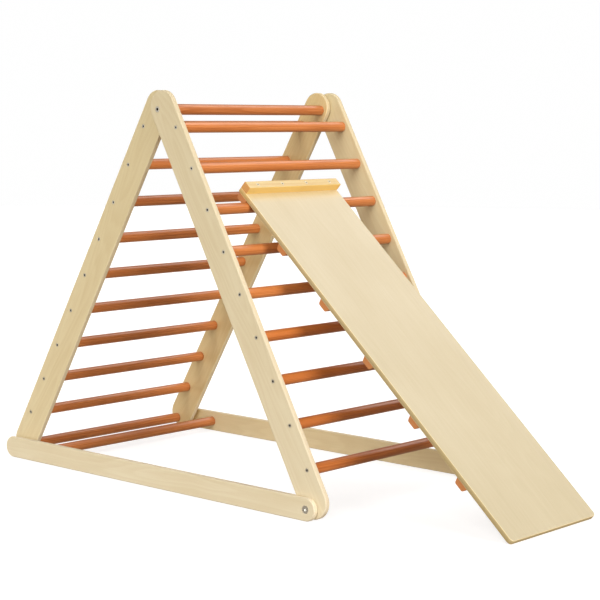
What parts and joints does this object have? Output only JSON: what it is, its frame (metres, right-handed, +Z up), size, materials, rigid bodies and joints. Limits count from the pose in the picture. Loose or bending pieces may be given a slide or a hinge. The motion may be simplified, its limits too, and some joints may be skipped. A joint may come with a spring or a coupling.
{
  "type": "folding climbing triangle with ramp",
  "caption": "Indoor wooden climbing triangle: two rung ladders pivoted at the top on a hinged floor frame, with a plank ramp hooked over a rung.",
  "frame": {"origin": "middle of the footprint, on the floor", "axes": "+Z up, rungs along Y with the near side at -Y, the wide ladder and its ramp on the +X side"},
  "size_m": [1.3991, 0.594, 0.8849],
  "materials": {
    "birch_ply": "clear satin varnish on pale birch plywood",
    "board_ply": "clear satin varnish on cream plywood",
    "rung_wood": "red-brown stained hardwood, satin",
    "pine": "clear varnished warm yellow pine",
    "steel": "zinc plated"
  },
  "bodies": {
    "outer_ladder": {"outer_rail_near": "birch_ply", "outer_rail_far": "birch_ply", "outer_rung_01": "rung_wood", "outer_rung_02": "rung_wood", "outer_rung_03": "rung_wood", "outer_rung_04": "rung_wood", "outer_rung_05": "rung_wood", "outer_rung_06": "rung_wood", "outer_rung_07": "rung_wood", "outer_rung_08": "rung_wood", "outer_rung_09": "rung_wood", "outer_ladder_screws": "steel", "foot_bolts": "steel", "foot_nuts": "steel", "foot_washers": "steel"},
    "inner_ladder": {"inner_rail_near": "birch_ply", "inner_rail_far": "birch_ply", "inner_rung_01": "rung_wood", "inner_rung_02": "rung_wood", "inner_rung_03": "rung_wood", "inner_rung_04": "rung_wood", "inner_rung_05": "rung_wood", "inner_rung_06": "rung_wood", "inner_rung_07": "rung_wood", "inner_rung_08": "rung_wood", "inner_rung_09": "rung_wood", "apex_rung": "rung_wood", "inner_foot_dowel": "rung_wood", "inner_ladder_screws": "steel", "apex_bolts": "steel", "apex_washers": "steel", "foot_pegs": "steel"},
    "base_frame": {"base_bar_near": "birch_ply", "base_bar_far": "birch_ply", "base_cross_dowel": "rung_wood"},
    "ramp": {"ramp_board": "board_ply", "ramp_top_cleat": "pine", "ramp_hook_block": "rung_wood", "ramp_tread_1": "rung_wood", "ramp_tread_2": "rung_wood", "ramp_tread_3": "rung_wood", "ramp_tread_4": "rung_wood", "ramp_tread_5": "rung_wood", "ramp_cleat_screws": "steel", "ramp_tread_screws": "steel"}
  },
  "joints": [
    {"name": "apex_fold", "type": "hinge", "parent": "outer_ladder", "child": "inner_ladder", "pos_m": [-0.17786, 0, 0.84277], "axis": [0, -1, 0], "range_deg": [0, 57]},
    {"name": "base_fold", "type": "hinge", "parent": "outer_ladder", "child": "base_frame", "pos_m": [0.27544, 0, 0.025], "axis": [0, -1, 0], "range_deg": [0, 294]},
    {"name": "ramp_tilt", "type": "hinge", "parent": "outer_ladder", "child": "ramp", "pos_m": [-0.02285, 0, 0.62913], "axis": [0, -1, 0], "range_deg": [0, 20]}
  ],
  "couplings": [
    {"joint": "base_fold", "follows": "apex_fold", "ratio": 5.157}
  ]
}
